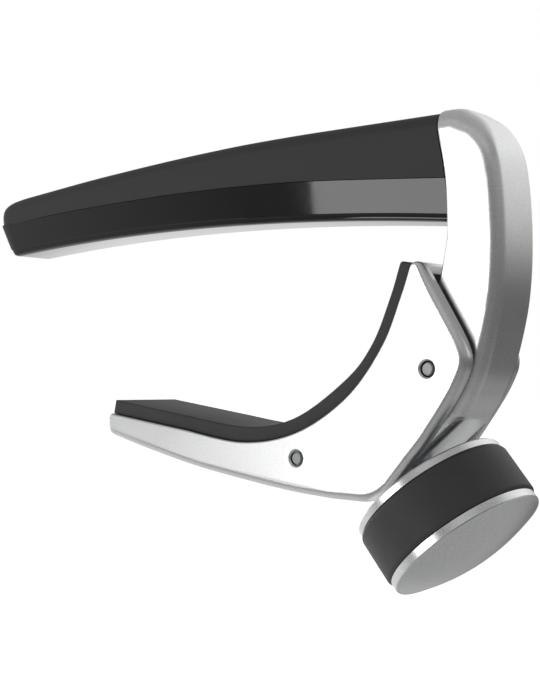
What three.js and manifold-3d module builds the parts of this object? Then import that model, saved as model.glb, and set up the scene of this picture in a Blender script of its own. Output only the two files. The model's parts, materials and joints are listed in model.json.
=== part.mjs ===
// Screw-operated guitar capo.
//
// A C-shaped frame carries the string pad on its upper arm. A channel-section jaw
// swings on a pin through the frame's leg and carries the neck pad. A knob turns a
// screw in the leg, whose nose pushes the jaw's web and closes the jaw on the neck.
// A small extension spring pulls the jaw open again.
//
// Millimetres. X runs along the arm towards the bow, Y across the capo, Z upwards.
// The origin is the middle of the string pad's contact face.

import * as THREE from 'three';
import { mergeVertices } from 'three/addons/utils/BufferGeometryUtils.js';
import Module from 'manifold-3d';

const wasm = await Module();
wasm.setup();

// ---- driving dimensions ----

const GAP = 0.3;                       // between pieces that touch in the real capo

const SEAM_X = 35.3;                   // about where the arm's cover meets the frame's bow
const ARM_HALF_WIDTH = 4.0;
const COVER_WALL = 1.2;
const COVER_FILLET = 0.7;
const FINGERBOARD_RADIUS = 385;        // the string pad's underside matches this crown
const PAD_CREST_X = -4;                // lowest place of the crown along the arm
const PAD_TIP_X = -35.0;               // foot's end; the tip slopes out to meet the cover
const PAD_TIP_REACH = 2.0;             // how far the tip has sloped out at the cover
const PAD_TIP_SLOPE_START = -0.6;      // heights where the tip's slope starts and ends
const PAD_TIP_SLOPE_END = 2.9;
const PAD_STEP_HALF_WIDTH = 3.45;      // the string pad's sides lean in to a rounded foot
const PAD_STEP_HEIGHT = 0.75;
const PAD_FOOT_HALF_WIDTH = 2.5;

const FRAME_HALF_WIDTH = 4.0;
const FRAME_FILLET = 1.0;
const BOW_TOP_Z = 10.1;
const LEG_CORNER_RADIUS = 1.6;         // where the bow turns into the leg's outer face
const TONGUE_HALF_WIDTH = 2.4;         // the tongue lies inside the arm's cover
const TONGUE_TIP_X = -33.5;
const TONGUE_COVER_GAP = 0.35;
const ARM_STUB_X = 31;                 // rounded edges are made to here, then trimmed

const JAW_HALF_WIDTH = 6.0;
const JAW_WALL = 1.5;
const JAW_WEB = 1.5;
const JAW_FILLET = 0.35;
const JAW_TOP_RADIUS = 0.74;
const JAW_HEEL_RADIUS = 5.5;
const JAW_CHANNEL_TIP_X = -10.8;       // the channel is closed beyond here
const NECK_PAD_HALF_WIDTH = 5.55;

const PIVOT = { x: 34.89, z: -17.56 };           // the jaw's hinge pin
const SPRING_PIN = { x: 17.55, z: -27.44 };     // in the jaw
const SPRING_ANCHOR = { x: 25.1, z: -29.2 };     // in the leg's end
const PIN_RADIUS = 0.7;
const PIN_HOLE_RADIUS = 0.9;
const PIN_SINK = 0.25;                           // the pins' ends lie below the cheeks
const ANCHOR_PIN_RADIUS = 0.5;
const ANCHOR_HOLE_RADIUS = 0.75;
const BUSH_RADIUS = 1.75;
const BUSH_FLANGE_RADIUS = 2.4;
const BUSH_FLANGE = 0.5;
const BUSH_GAP = 0.2;                            // round each bush in the leg
const BUSH_PROUD = 0.1;                          // each flange stands out of the leg
const BUSH_INNER_END = 0.15;                     // from the middle plane
const SPRING_SLOT_HALF_WIDTH = 1.9;

const KNOB_BASE = { x: 31.35, z: -30.52 };       // centre of the knob's inner face
const KNOB_AXIS_DEG = -50.5;                     // outward direction, from +X towards +Z
const KNOB_RING_RADIUS = 9.0;
const KNOB_GRIP_RADIUS = 9.24;
const KNOB_RING_START = -0.1;                    // heights along the knob's axis
const KNOB_INNER_RING = 0.86;
const KNOB_GRIP_TOP = 6.6;
const KNOB_CAP_TOP = 7.65;
const KNOB_DOME_TOP = 9.3;

const LEG_OUTER = -2.05;                         // the leg's faces along the knob's axis
const LEG_INNER = -6.2;
const SCREW_RADIUS = 2.3;                        // plain shank at the thread's pitch line
const SCREW_BUSH_BORE = 2.55;
const SCREW_BUSH_RADIUS = 2.95;
const SCREW_BUSH_START = -5.4;
const SCREW_BUSH_END = -2.2;
const WEAR_PLATE_FACE = -9.9;
const WEAR_PLATE_THICKNESS = 0.6;
const WEAR_PLATE_HALF_LENGTH = 3.0;
const WEAR_PLATE_HALF_WIDTH = 3.2;

const PAST_EDGE = 6;                             // how far cutting blocks reach past a face

// ---- directions and places ----

const knobAngle = THREE.MathUtils.degToRad(KNOB_AXIS_DEG);
const knobDir = new THREE.Vector2(Math.cos(knobAngle), Math.sin(knobAngle));
const acrossDir = new THREE.Vector2(-knobDir.y, knobDir.x);

// A point in the XZ plane, from its distance along the knob's axis and across it.
function atScrew(along, across) {
  return new THREE.Vector2(
    KNOB_BASE.x + along * knobDir.x + across * acrossDir.x,
    KNOB_BASE.z + along * knobDir.y + across * acrossDir.y
  );
}

// Height of the string pad's contact face at a place along the arm.
function contactZ(x) {
  const crown = (from) => Math.sqrt(FINGERBOARD_RADIUS ** 2 - (from - PAD_CREST_X) ** 2);
  return crown(x) - crown(0);
}

// ---- outlines ----

const points = (pairs) => pairs.map(([x, z]) => new THREE.Vector2(x, z));

// The points of a smooth curve through the given places.
function smooth(pairs, steps) {
  return new THREE.SplineCurve(points(pairs)).getPoints(steps);
}

// The points of a corner rounded between two directions.
function roundCorner(before, corner, after, radius, steps = 4) {
  const toBefore = before.clone().sub(corner).normalize();
  const toAfter = after.clone().sub(corner).normalize();
  const half = Math.acos(THREE.MathUtils.clamp(toBefore.dot(toAfter), -1, 1)) / 2;
  const reach = radius / Math.tan(half);
  const start = corner.clone().addScaledVector(toBefore, reach);
  const end = corner.clone().addScaledVector(toAfter, reach);
  const centre = corner.clone().addScaledVector(
    toBefore.clone().add(toAfter).normalize(), radius / Math.sin(half)
  );
  const from = start.clone().sub(centre).angle();
  let sweep = end.clone().sub(centre).angle() - from;
  if (sweep > Math.PI) sweep -= 2 * Math.PI;
  if (sweep < -Math.PI) sweep += 2 * Math.PI;
  const made = [];
  for (let i = 0; i <= steps; i += 1) {
    const a = from + (sweep * i) / steps;
    made.push(new THREE.Vector2(centre.x + radius * Math.cos(a), centre.y + radius * Math.sin(a)));
  }
  return made;
}

// A curve moved sideways, to the left of its direction of travel.
function offsetLeft(curve, distance) {
  return curve.map((p, i) => {
    const a = curve[Math.max(i - 1, 0)];
    const b = curve[Math.min(i + 1, curve.length - 1)];
    const along = b.clone().sub(a).normalize();
    return new THREE.Vector2(p.x - along.y * distance, p.y + along.x * distance);
  });
}

// The top of the arm, from its tip to the seam.
const armTop = smooth([[-33.3, 6.88], [-17.5, 8.28], [0, 9.38], [14, 9.78], [SEAM_X, 9.74]], 12);

// The line where the cover ends and the string pad begins, from tip to seam.
const armSplit = smooth([[-36.8, 3.05], [-26.5, 3.8], [-14, 4.3], [0, 4.5], [16, 4.1], [36.3, 2.55]], 14);

// The bow's edge where the arm's cover and string pad butt against it, upwards.
const SEAM_FOOT = [36.14, -2.3];
const SEAM_TOP = [34.9, 11];
const seam = smooth([SEAM_FOOT, [36.05, 1.2], [35.7, 4.1], [35.1, 7.2], [34.9, 9.3], SEAM_TOP], 10);

// The jaw's upper edge, under the neck pad, from its tip to its top corner.
const jawSeat = [
  new THREE.Vector2(-12.4, -22.8),
  ...smooth([[0, -24.55], [9.5, -25.83], [17.6, -24.5], [24.6, -20.45], [29.2, -15.05],
    [31.6, -9.9], [32.75, -6.85]], 22),
];

// The neck pad's bearing face, from tip to top.
const padFace = [
  new THREE.Vector2(-12.0, -21.1),
  ...smooth([[0, -22.85], [9.8, -24.05], [17.0, -22.9], [24.1, -18.6], [27.6, -14.8],
    [29.9, -10.0], [31.1, -6.7]], 22),
];

// ---- solids ----

// A flat shape in the XZ plane given thickness along Y, with rounded edges if asked.
function slab(outline, halfWidth, { fillet = 0, segments = 2, holes = [] } = {}) {
  const shape = new THREE.Shape(outline);
  holes.forEach((hole) => shape.holes.push(new THREE.Path(hole)));
  const geometry = new THREE.ExtrudeGeometry(shape, {
    depth: 2 * (halfWidth - fillet),
    steps: 1,
    bevelEnabled: fillet > 0,
    bevelThickness: fillet,
    bevelSize: fillet,
    bevelOffset: -fillet,
    bevelSegments: segments,
  });
  geometry.translate(0, 0, -(halfWidth - fillet));
  geometry.rotateX(Math.PI / 2);
  return geometry;
}

// A turned piece: pairs of radius and height along its axis, which starts and ends on
// the axis or, if closed, returns to its first point.
function turned(profile, segments = 32, closed = false) {
  const outline = points(closed ? [...profile, profile[0]] : profile);
  return new THREE.LatheGeometry(outline, segments);
}

// A turned piece on the knob's axis, with heights measured from the knob's inner face.
function onScrew(geometry) {
  geometry.rotateZ(knobAngle - Math.PI / 2);
  geometry.rotateX(Math.PI / 2);
  geometry.translate(KNOB_BASE.x, 0, KNOB_BASE.z);
  return geometry;
}

// A closed skin over rings of the same number of points. Each ring turns anticlockwise
// when seen from the far end.
function loft(rings) {
  const count = rings[0].length;
  const index = [];
  for (let r = 0; r < rings.length - 1; r += 1) {
    for (let i = 0; i < count; i += 1) {
      const a = r * count + i;
      const b = r * count + ((i + 1) % count);
      index.push(a, b, a + count, b, b + count, a + count);
    }
  }
  const last = (rings.length - 1) * count;
  for (let i = 1; i < count - 1; i += 1) {
    index.push(0, i + 1, i, last, last + i, last + i + 1);
  }
  const geometry = new THREE.BufferGeometry();
  geometry.setAttribute('position', new THREE.Float32BufferAttribute(rings.flat(2), 3));
  geometry.setIndex(index);
  return geometry;
}

// A straight pin or tube across the capo, centred on the middle plane.
function acrossPin(place, radius, halfLength, segments = 20) {
  const geometry = new THREE.CylinderGeometry(radius, radius, 2 * halfLength, segments);
  geometry.translate(place.x, 0, place.z);
  return geometry;
}

function toSolid(geometry) {
  const bare = geometry.clone();
  bare.deleteAttribute('normal');
  bare.deleteAttribute('uv');
  const merged = mergeVertices(bare, 1e-4);
  return new wasm.Manifold(new wasm.Mesh({
    numProp: 3,
    vertProperties: merged.attributes.position.array,
    triVerts: new Uint32Array(merged.index.array),
  }));
}

function toGeometry(solid) {
  const mesh = solid.getMesh();
  const geometry = new THREE.BufferGeometry();
  geometry.setAttribute('position', new THREE.BufferAttribute(mesh.vertProperties, mesh.numProp));
  geometry.setIndex(new THREE.BufferAttribute(mesh.triVerts, 1));
  return geometry;
}

function cut(base, ...tools) {
  return toGeometry(tools.reduce((solid, tool) => solid.subtract(toSolid(tool)), toSolid(base)));
}

function join(base, ...more) {
  return toGeometry(more.reduce((solid, piece) => solid.add(toSolid(piece)), toSolid(base)));
}

// ---- frame and arm ----

// The bow and leg: the outer edge down from the arm, round the leg's end, and back up.
// It starts inside the arm, so that its rounded edges run on to the seam.
function bowOutline() {
  const outer = smooth([[34.9, BOW_TOP_Z], [36.4, 10.05], [38.0, 9.6], [40.2, 7.85], [41.85, 4.15],
    [42.5, -3.2], [42.1, -10.4], [40.5, -17.0], [39.2, -20.1], [38.0, -22.0]], 26);
  const legCorner = new THREE.Vector2(37.5, -22.8);
  const legEnd = atScrew(LEG_OUTER, -2.2);
  const legStart = roundCorner(outer[outer.length - 1], legCorner, legEnd, LEG_CORNER_RADIUS);
  const legNose = atScrew(-3.9, -5.4);
  const legBack = atScrew(LEG_INNER, -5.4);
  const legRoot = atScrew(LEG_INNER, 3.2);
  const inner = smooth([[30.6, -20.2], [32.4, -15.2], [34.2, -11.6], [35.2, -8.0], [36.0, -4.0],
    SEAM_FOOT], 12);
  const insideArm = points([[ARM_STUB_X, SEAM_FOOT[1]], [ARM_STUB_X, BOW_TOP_Z]]);
  return [...outer, ...legStart, legEnd, legNose, legBack, legRoot, ...inner, ...insideArm];
}

// The tongue is a tapering bar inside the cover that stiffens the arm.
function tongueOutline() {
  const top = offsetLeft(armTop, -(COVER_WALL + TONGUE_COVER_GAP));
  const bottom = offsetLeft(armSplit, GAP);
  const inside = (p) => p.x > TONGUE_TIP_X && p.x < SEAM_X;
  const rootX = SEAM_X + 1.7;
  return [
    ...bottom.filter(inside),
    new THREE.Vector2(rootX, 3.0),
    new THREE.Vector2(rootX, 8.1),
    ...top.filter(inside).reverse(),
  ];
}

// A cutting block bounded by the seam's curve and an upright edge at the given x.
function seamBlock(curve, x) {
  const corners = points([[x, SEAM_TOP[1]], [x, SEAM_FOOT[1]]]);
  return slab([...curve, ...corners], FRAME_HALF_WIDTH + PAST_EDGE);
}

function makeScrewHole() {
  const radius = SCREW_BUSH_RADIUS + BUSH_GAP;
  const start = LEG_INNER - PAST_EDGE;
  const end = LEG_OUTER + PAST_EDGE / 2;
  return onScrew(turned([[0, start], [radius, start], [radius, end], [0, end]]));
}

// The shallow seats in the leg's two sides for the bushes' flanges.
function makeFlangeSeats() {
  return [-1, 1].map((side) => {
    const seat = acrossPin(PIVOT, BUSH_FLANGE_RADIUS + BUSH_GAP, BUSH_FLANGE);
    seat.translate(0, side * FRAME_HALF_WIDTH, 0);
    return seat;
  });
}

// The slot in the leg's end that gives the return spring room round its anchor pin.
function makeSpringSlot() {
  const left = SPRING_ANCHOR.x - 3.6;
  const right = SPRING_ANCHOR.x + 1.9;
  const bottom = SPRING_ANCHOR.z - 2.3;
  const top = SPRING_ANCHOR.z + 3.2;
  const corners = points([[left, bottom], [right, bottom], [right, top], [left, top]]);
  return slab(corners, SPRING_SLOT_HALF_WIDTH);
}

function makeFrame() {
  const rounded = slab(bowOutline(), FRAME_HALF_WIDTH, { fillet: FRAME_FILLET });
  const bow = cut(rounded, seamBlock(seam, ARM_STUB_X - 2));
  const tongue = slab(tongueOutline(), TONGUE_HALF_WIDTH);
  const across = FRAME_HALF_WIDTH + PAST_EDGE;
  const pivotHole = acrossPin(PIVOT, BUSH_RADIUS + BUSH_GAP, across);
  const anchorHole = acrossPin(SPRING_ANCHOR, ANCHOR_HOLE_RADIUS, across);
  return cut(join(bow, tongue), makeScrewHole(), pivotHole, ...makeFlangeSeats(), anchorHole,
    makeSpringSlot());
}

// The cover is an inverted trough over the tongue, closed at the tip.
function makeArmCover() {
  const tip = smooth([[-37.2, 3.3], [-37.25, 4.6], [-36.7, 5.8], [-35.4, 6.5], [-33.3, 6.88]], 6);
  const beyondX = SEAM_X + 3;
  const outline = [
    ...armSplit.slice(1),
    new THREE.Vector2(beyondX, 2.3),
    new THREE.Vector2(beyondX, 9.6),
    ...[...armTop].reverse(),
    ...tip.slice(0, -1).reverse(),
  ];
  const outer = slab(outline, ARM_HALF_WIDTH, { fillet: COVER_FILLET });
  const hollowTipX = TONGUE_TIP_X - GAP;
  const hollowEndX = SEAM_X + 2;
  const roof = offsetLeft(armTop, -COVER_WALL).filter((p) => p.x > hollowTipX);
  const hollow = slab([
    new THREE.Vector2(hollowTipX, 0),
    new THREE.Vector2(hollowEndX, 0),
    new THREE.Vector2(hollowEndX, 8.5),
    ...roof.reverse(),
    new THREE.Vector2(hollowTipX, 5.6),
  ], TONGUE_HALF_WIDTH + GAP);
  return cut(outer, hollow, seamBlock(offsetLeft(seam, GAP), SEAM_X + PAST_EDGE));
}

// Height of a curve that runs along X, at a place along it.
function heightOf(curve, x) {
  const i = Math.max(curve.findIndex((p) => p.x > x), 1);
  const t = (x - curve[i - 1].x) / (curve[i].x - curve[i - 1].x);
  return THREE.MathUtils.lerp(curve[i - 1].y, curve[i].y, t);
}

// The string pad is a rubber bar whose sides lean in towards its contact face.
function makeStringPad() {
  const stations = 16;
  const end = seam[0].x;
  const top = offsetLeft(armSplit, -GAP);
  const section = (x) => {
    const low = contactZ(x);
    const half = [[PAD_FOOT_HALF_WIDTH, low], [PAD_STEP_HALF_WIDTH, low + PAD_STEP_HEIGHT],
      [ARM_HALF_WIDTH, heightOf(top, x)]];
    const mirrored = half.map(([y, z]) => [-y, z]).reverse();
    return [...half, ...mirrored];
  };
  const rings = [];
  for (let i = 0; i <= stations; i += 1) {
    const x = THREE.MathUtils.lerp(PAD_TIP_X, end, i / stations);
    rings.push(section(x).map(([y, z]) => [x, y, z]));
  }
  // The tip slopes back from the cover to the foot.
  const slope = (z) => THREE.MathUtils.clamp(
    THREE.MathUtils.inverseLerp(PAD_TIP_SLOPE_START, PAD_TIP_SLOPE_END, z), 0, 1
  );
  rings[0] = rings[0].map(([x, y, z]) => [x - PAD_TIP_REACH * slope(z), y, z]);
  return cut(loft(rings), seamBlock(offsetLeft(seam, GAP), SEAM_X + PAST_EDGE));
}

// ---- jaw ----

function jawOutline() {
  const upper = new THREE.Vector2(33.34, -5.31);
  const back = smooth([[34.5, -7.2], [36.5, -10.45], [38.4, -13.6], [39.3, -15.4], [39.55, -16.7],
    [39.2, -18.1], [37.75, -20.7], [34.7, -24.9], [32.75, -27.15]], 24);
  const heel = new THREE.Vector2(28.6, -31.95);
  const bottom = smooth([[22.0, -31.75], [16.5, -31.25], [10.4, -30.4], [2.0, -29.0], [-6.0, -27.2],
    [-11.6, -25.75]], 12);
  const tip = smooth([[-11.6, -25.75], [-12.75, -25.35], [-13.25, -24.6], [-13.3, -23.6],
    [-12.95, -23.0], [-12.4, -22.8]], 8);
  return [
    ...jawSeat.slice(1),
    ...roundCorner(jawSeat[jawSeat.length - 1], upper, back[0], JAW_TOP_RADIUS),
    ...back,
    ...roundCorner(back[back.length - 1], heel, bottom[0], JAW_HEEL_RADIUS, 6),
    ...bottom.slice(0, -1),
    ...tip,
  ];
}

// The space inside the channel, open at the bottom and towards the bow.
function channelOutline() {
  const roof = offsetLeft(jawSeat, -JAW_WEB).filter((p) => p.x > JAW_CHANNEL_TIP_X);
  const low = KNOB_BASE.z - PAST_EDGE;
  const high = jawSeat[jawSeat.length - 1].y + PAST_EDGE / 2;
  const right = PIVOT.x + 2 * PAST_EDGE;
  return [
    new THREE.Vector2(JAW_CHANNEL_TIP_X, low),
    new THREE.Vector2(right, low),
    new THREE.Vector2(right, high),
    new THREE.Vector2(roof[roof.length - 1].x, high),
    ...roof.reverse(),
  ];
}

// A rectangle square to the knob's axis, between two places along it.
function squareToScrew(from, to, halfLength) {
  return [atScrew(from, -halfLength), atScrew(to, -halfLength), atScrew(to, halfLength),
    atScrew(from, halfLength)];
}

// A level seat for the wear plate where the screw's nose presses.
function makePlateSeat() {
  const face = WEAR_PLATE_FACE - WEAR_PLATE_THICKNESS - GAP;
  const outline = squareToScrew(face, face + PAST_EDGE, WEAR_PLATE_HALF_LENGTH + GAP);
  return slab(outline, JAW_HALF_WIDTH - JAW_WALL);
}

function makeJaw() {
  const block = slab(jawOutline(), JAW_HALF_WIDTH, { fillet: JAW_FILLET });
  const channel = slab(channelOutline(), JAW_HALF_WIDTH - JAW_WALL);
  const across = JAW_HALF_WIDTH + PAST_EDGE;
  return cut(block, channel, makePlateSeat(),
    acrossPin(PIVOT, PIN_HOLE_RADIUS, across), acrossPin(SPRING_PIN, PIN_HOLE_RADIUS, across));
}

function makeNeckPad() {
  const seat = offsetLeft(jawSeat, GAP);
  const topBack = new THREE.Vector2(32.6, -6.4);
  const topFront = new THREE.Vector2(31.34, -6.05);
  const nose = roundCorner(topBack, topFront, padFace[padFace.length - 1], 0.4);
  return slab([...seat, topBack, ...nose, ...[...padFace].reverse()], NECK_PAD_HALF_WIDTH);
}

function makeWearPlate() {
  const back = WEAR_PLATE_FACE - WEAR_PLATE_THICKNESS;
  const outline = squareToScrew(back, WEAR_PLATE_FACE, WEAR_PLATE_HALF_LENGTH);
  return slab(outline, WEAR_PLATE_HALF_WIDTH);
}

// ---- pins, bush and spring ----

// A flanged sleeve pressed into the leg from one side. It stands a hair proud of the
// leg, so that it spaces the jaw's side plate away.
function makePivotBush(side) {
  const face = FRAME_HALF_WIDTH + BUSH_PROUD;
  const neck = face - BUSH_FLANGE;
  const sleeve = turned([[PIN_HOLE_RADIUS, BUSH_INNER_END], [BUSH_RADIUS, BUSH_INNER_END],
    [BUSH_RADIUS, neck], [BUSH_FLANGE_RADIUS, neck], [BUSH_FLANGE_RADIUS, face],
    [PIN_HOLE_RADIUS, face]], 24, true);
  if (side < 0) sleeve.rotateX(Math.PI);
  sleeve.translate(PIVOT.x, 0, PIVOT.z);
  return sleeve;
}

function makeAnchorPin() {
  return acrossPin(SPRING_ANCHOR, ANCHOR_PIN_RADIUS, FRAME_HALF_WIDTH - PIN_SINK);
}

// A close-wound extension spring between the leg's anchor pin and the jaw's spring pin.
function makeReturnSpring() {
  const start = new THREE.Vector2(SPRING_ANCHOR.x, SPRING_ANCHOR.z);
  const end = new THREE.Vector2(SPRING_PIN.x, SPRING_PIN.z);
  const along = end.clone().sub(start).normalize();
  const length = start.distanceTo(end);
  const across = new THREE.Vector2(-along.y, along.x);
  const turns = 5;
  const radius = 1.15;
  const lead = 1.9;
  const stepsPerTurn = 10;
  const path = [];
  const place = (u, a, b) => new THREE.Vector3(
    start.x + along.x * u + across.x * a, b, start.y + along.y * u + across.y * a
  );
  for (let i = 0; i <= turns * stepsPerTurn; i += 1) {
    const t = i / stepsPerTurn;
    const u = lead + ((length - 2 * lead) * t) / turns;
    path.push(place(u, radius * Math.cos(2 * Math.PI * t), radius * Math.sin(2 * Math.PI * t)));
  }
  const hook = 1.25;
  path.unshift(place(hook - 0.1, 0.9, 0));
  path.push(place(length - hook + 0.1, 0.9, 0));
  const wire = new THREE.Shape(points([[0.2, 0], [0, 0.2], [-0.2, 0], [0, -0.2]]));
  return new THREE.ExtrudeGeometry(wire, {
    steps: path.length * 2,
    extrudePath: new THREE.CatmullRomCurve3(path),
    bevelEnabled: false,
  });
}

// ---- screw and knob ----

function makeScrewBush() {
  return onScrew(turned([[SCREW_BUSH_BORE, SCREW_BUSH_START], [SCREW_BUSH_RADIUS, SCREW_BUSH_START],
    [SCREW_BUSH_RADIUS, SCREW_BUSH_END], [SCREW_BUSH_BORE, SCREW_BUSH_END]], 28, true));
}

function makeSpindle() {
  return onScrew(turned([[0, -8.5], [0.8, -8.5], [1.0, -8.3], [1.0, -6.9], [SCREW_RADIUS, -6.7],
    [SCREW_RADIUS, 0.9], [1.6, 1.0], [1.6, 3.3], [0, 3.3]], 24));
}

// The nose cap stays still against the wear plate while the screw turns inside it.
function makeNoseCap() {
  const noseRadius = 1.75;
  const centre = -7.9;
  const profile = [];
  for (let i = 0; i <= 6; i += 1) {
    const a = (Math.PI / 2) * (i / 6);
    profile.push([noseRadius * Math.sin(a), centre - noseRadius * Math.cos(a)]);
  }
  return onScrew(turned([...profile, [noseRadius, -7.15], [1.25, -7.15], [1.25, -8.75], [0, -8.75]], 20));
}

function makeHub() {
  return onScrew(turned([[1.85, 1.2], [6.4, 1.2], [6.4, 6.3], [4.2, 6.3], [4.2, 5.0], [1.15, 5.0],
    [1.15, 3.6], [1.85, 3.6]], 32, true));
}

function makeInnerRing() {
  return onScrew(turned([[2.7, KNOB_RING_START], [KNOB_RING_RADIUS - 0.15, KNOB_RING_START],
    [KNOB_RING_RADIUS, KNOB_RING_START + 0.15], [KNOB_RING_RADIUS, KNOB_INNER_RING],
    [2.7, KNOB_INNER_RING]], 48, true));
}

function makeGrip() {
  const bottom = KNOB_INNER_RING + GAP;
  const top = KNOB_GRIP_TOP - GAP;
  const shoulder = 0.5;
  return onScrew(turned([[6.7, bottom], [KNOB_GRIP_RADIUS - shoulder, bottom],
    [KNOB_GRIP_RADIUS - 0.15, bottom + 0.15], [KNOB_GRIP_RADIUS, bottom + shoulder],
    [KNOB_GRIP_RADIUS, top - shoulder], [KNOB_GRIP_RADIUS - 0.15, top - 0.15],
    [KNOB_GRIP_RADIUS - shoulder, top], [6.7, top]], 48, true));
}

function makeEndCap() {
  const crown = [];
  const crownSteps = 5;
  const crownRadius = KNOB_RING_RADIUS - 0.35;
  for (let i = 0; i <= crownSteps; i += 1) {
    const r = crownRadius * (1 - i / crownSteps);
    crown.push([r, KNOB_CAP_TOP + (KNOB_DOME_TOP - KNOB_CAP_TOP) * (1 - (r / crownRadius) ** 2)]);
  }
  return onScrew(turned([[0, KNOB_GRIP_TOP], [KNOB_RING_RADIUS, KNOB_GRIP_TOP],
    [KNOB_RING_RADIUS, KNOB_CAP_TOP - 0.2], ...crown], 48));
}

function makeHubScrew() {
  const shank = 0.85;
  return onScrew(turned([[0, 3.6], [shank, 3.6], [shank, 5.35], [3.2, 5.6], [3.2, 6.2], [0, 6.2]], 20));
}

// ---- materials ----

const satinAlloy = () => new THREE.MeshStandardMaterial({ color: 0xd4d6d9, roughness: 0.38, metalness: 1 });
const softTouch = () => new THREE.MeshStandardMaterial({ color: 0x35363a, roughness: 0.8, metalness: 0 });
const glossRubber = () => new THREE.MeshStandardMaterial({ color: 0x1c1d20, roughness: 0.25, metalness: 0 });
const rubber = () => new THREE.MeshStandardMaterial({ color: 0x2f3033, roughness: 0.7, metalness: 0 });
const steel = () => new THREE.MeshStandardMaterial({ color: 0xb9bcc0, roughness: 0.3, metalness: 1 });
const brass = () => new THREE.MeshStandardMaterial({ color: 0xb59a5b, roughness: 0.35, metalness: 1 });
const nylon = () => new THREE.MeshStandardMaterial({ color: 0xd9d6cc, roughness: 0.55, metalness: 0 });

// ---- assembly ----

function piece(name, geometry, material) {
  const mesh = new THREE.Mesh(geometry, material);
  mesh.name = name;
  return mesh;
}

const capo = new THREE.Group();
capo.add(
  piece('c_frame', makeFrame(), satinAlloy()),
  piece('arm_cover', makeArmCover(), softTouch()),
  piece('string_pad', makeStringPad(), glossRubber()),
  piece('jaw', makeJaw(), satinAlloy()),
  piece('neck_pad', makeNeckPad(), rubber()),
  piece('wear_plate', makeWearPlate(), steel()),
  piece('pivot_pin', acrossPin(PIVOT, PIN_RADIUS, JAW_HALF_WIDTH - PIN_SINK), steel()),
  piece('pivot_bush_near', makePivotBush(-1), nylon()),
  piece('pivot_bush_far', makePivotBush(1), nylon()),
  piece('spring_pin', acrossPin(SPRING_PIN, PIN_RADIUS, JAW_HALF_WIDTH - PIN_SINK), steel()),
  piece('spring_anchor_pin', makeAnchorPin(), steel()),
  piece('return_spring', makeReturnSpring(), steel()),
  piece('screw_bush', makeScrewBush(), brass()),
  piece('screw_spindle', makeSpindle(), steel()),
  piece('screw_nose_cap', makeNoseCap(), nylon()),
  piece('knob_hub', makeHub(), nylon()),
  piece('knob_inner_ring', makeInnerRing(), satinAlloy()),
  piece('knob_grip', makeGrip(), rubber()),
  piece('knob_end_cap', makeEndCap(), satinAlloy()),
  piece('knob_hub_screw', makeHubScrew(), steel())
);

export default capo;
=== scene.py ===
"""Looks for the screw-operated guitar capo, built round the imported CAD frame.

Lengths in the outlines are millimetres, as in the design; `MM` turns them into metres.
X runs along the arm, Y across the capo and Z upwards.
"""

import json
import math

import bmesh
import bpy
from mathutils import Matrix, Vector
from mathutils.geometry import tessellate_polygon


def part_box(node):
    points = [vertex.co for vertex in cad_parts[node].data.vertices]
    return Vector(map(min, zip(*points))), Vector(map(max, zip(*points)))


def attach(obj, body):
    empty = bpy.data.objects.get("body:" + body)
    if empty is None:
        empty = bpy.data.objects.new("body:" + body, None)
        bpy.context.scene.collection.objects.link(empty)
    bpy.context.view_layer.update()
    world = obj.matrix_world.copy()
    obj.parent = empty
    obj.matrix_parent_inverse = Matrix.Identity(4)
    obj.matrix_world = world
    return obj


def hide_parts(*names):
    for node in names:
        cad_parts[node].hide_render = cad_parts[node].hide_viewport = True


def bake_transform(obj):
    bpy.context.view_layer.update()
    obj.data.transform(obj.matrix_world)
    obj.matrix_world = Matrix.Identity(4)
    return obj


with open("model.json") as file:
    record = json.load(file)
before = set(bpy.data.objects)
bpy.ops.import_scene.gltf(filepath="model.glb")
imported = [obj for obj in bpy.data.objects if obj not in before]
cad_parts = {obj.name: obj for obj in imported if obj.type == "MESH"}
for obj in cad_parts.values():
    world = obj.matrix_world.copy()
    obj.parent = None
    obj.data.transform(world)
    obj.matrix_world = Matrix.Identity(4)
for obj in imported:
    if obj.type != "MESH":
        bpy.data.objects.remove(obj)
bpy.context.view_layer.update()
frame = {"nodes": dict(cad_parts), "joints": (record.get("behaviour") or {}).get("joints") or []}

MM = 0.001

# ---------------------------------------------------------------- places from the frame

JOINTS = {j["name"]: j for j in frame["joints"]}


def box_mm(node):
    """The lowest and highest corners of a CAD node, in millimetres."""
    low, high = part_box(node)
    return low / MM, high / MM


def half_width(node):
    """How far a CAD node reaches from the capo's middle plane."""
    return box_mm(node)[1].y


def node_centre(node):
    low, high = box_mm(node)
    return (low + high) / 2


FRAME_HALF = half_width("c_frame")
JAW_HALF = half_width("jaw")
ARM_HALF = half_width("arm_cover")
NECK_HALF = half_width("neck_pad")

PIVOT = Vector(JOINTS["jaw_swing"]["pos_m"]) / MM
SPRING_PIN = node_centre("spring_pin")
SPRING_ANCHOR = node_centre("spring_anchor_pin")
KNOB_BASE = Vector(JOINTS["knob_turn"]["pos_m"]) / MM
KNOB_DIR = Vector(JOINTS["knob_turn"]["axis"]).normalized()
ACROSS_DIR = Vector((-KNOB_DIR.z, 0, KNOB_DIR.x))
WIDTH_DIR = Vector((0, 1, 0))


def at_screw(along, across):
    """A point in the XZ plane, from its distance along the screw's axis and across it."""
    p = KNOB_BASE + along * KNOB_DIR + across * ACROSS_DIR
    return (p.x, p.z)


# ---------------------------------------------------------------- curves


def curve_value(w, a, b, c, d):
    """One coordinate of a smooth curve through a, b, c and d, a share w from b to c."""
    v0 = (c - a) / 2
    v1 = (d - b) / 2
    return (2 * b - 2 * c + v0 + v1) * w**3 + (3 * c - 3 * b - 2 * v0 - v1) * w**2 + v0 * w + b


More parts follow.
